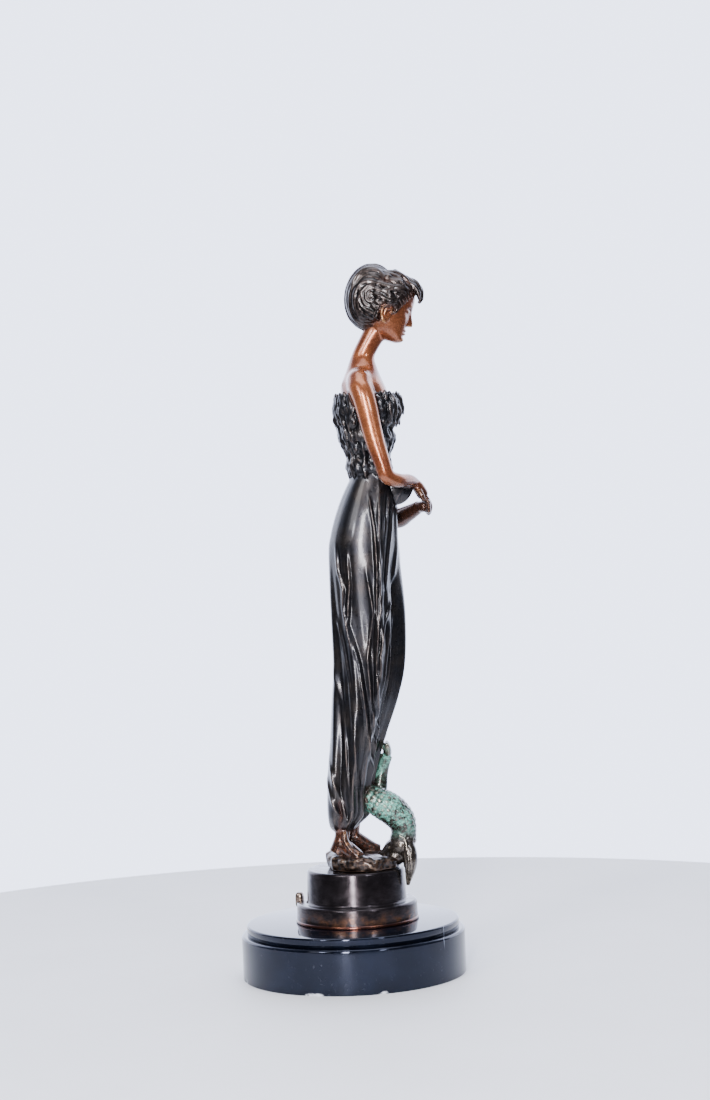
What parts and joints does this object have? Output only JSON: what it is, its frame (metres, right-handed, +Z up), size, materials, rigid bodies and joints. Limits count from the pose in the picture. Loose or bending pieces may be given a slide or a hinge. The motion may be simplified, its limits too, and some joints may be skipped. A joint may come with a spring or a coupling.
{
  "type": "bronze girl statue",
  "caption": "Cast bronze statuette of a standing girl in a long gown with a dolphin at her feet, on a turned bronze plinth and a round black marble base.",
  "frame": {"origin": "centre of the marble base's underside", "axes": "+Z up, +X the way the girl faces, +Y to her left"},
  "size_m": [0.1, 0.1, 0.3174],
  "materials": {
    "black_marble": "polished black marble with faint specks and a thin pale vein",
    "dark_bronze": "dark polished bronze with brown patina low on the ring",
    "patinated_bronze": "cast bronze with a copper-brown skin, near-black gown and hair, and green verdigris on the dolphin"
  },
  "bodies": {
    "root": {"marble_base": "black_marble", "bronze_plinth": "dark_bronze", "bronze_figure": "patinated_bronze"}
  },
  "joints": []
}
